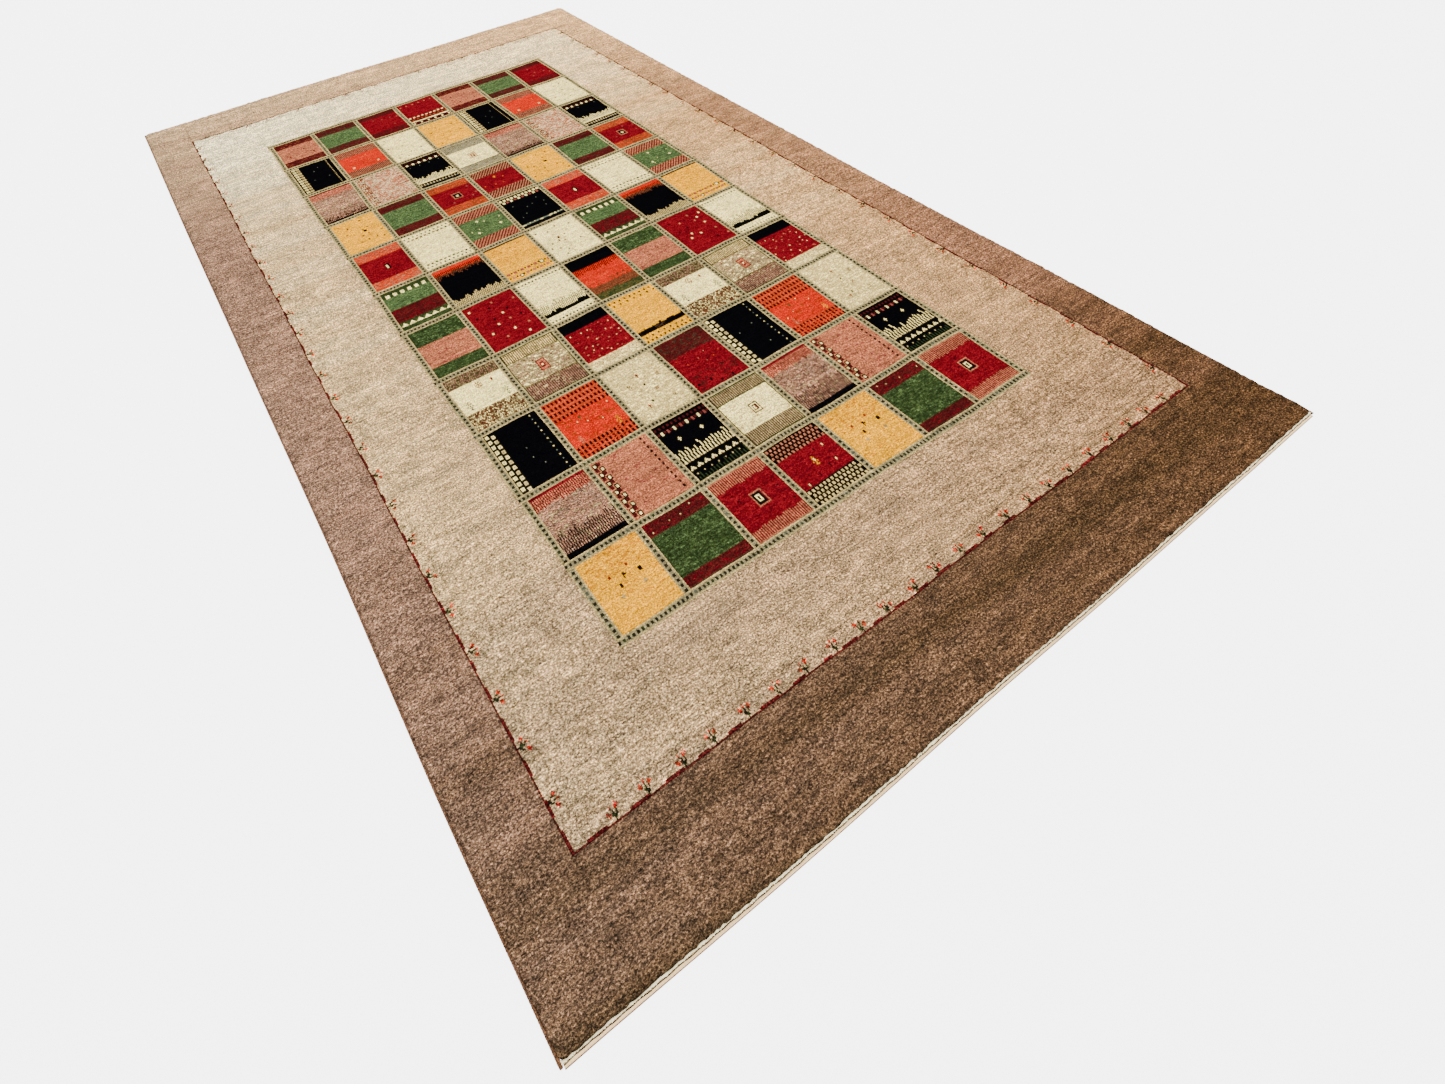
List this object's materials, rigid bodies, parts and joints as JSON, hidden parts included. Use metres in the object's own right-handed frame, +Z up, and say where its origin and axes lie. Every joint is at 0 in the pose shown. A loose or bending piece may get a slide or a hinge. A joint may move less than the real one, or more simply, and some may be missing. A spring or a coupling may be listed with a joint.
{
  "type": "loribaft rug",
  "caption": "Flat rectangular hand-knotted wool rug with a thick pile, overcast sides and flat-woven ends with a sewn braid.",
  "frame": {"origin": "middle of the rug's outline on the surface it lies on", "axes": "+Z up out of the pile, +Y along the rug's length towards the picture's far end, +X across it towards the picture's right side"},
  "size_m": [2.012, 3.0044, 0.013],
  "materials": {
    "pile_wool": "matt knotted wool pile in abrash browns and beige",
    "overcast_wool": "brown wool overcasting",
    "braid_cotton": "undyed cotton braid and flat weave",
    "twined_wool": "dark wool twining"
  },
  "bodies": {
    "root": {"rug_body": "pile_wool", "selvedge_left": "overcast_wool", "selvedge_right": "overcast_wool", "end_braid_near": "braid_cotton", "end_braid_far": "braid_cotton", "end_twining_near": "twined_wool", "end_twining_far": "twined_wool"}
  },
  "joints": []
}
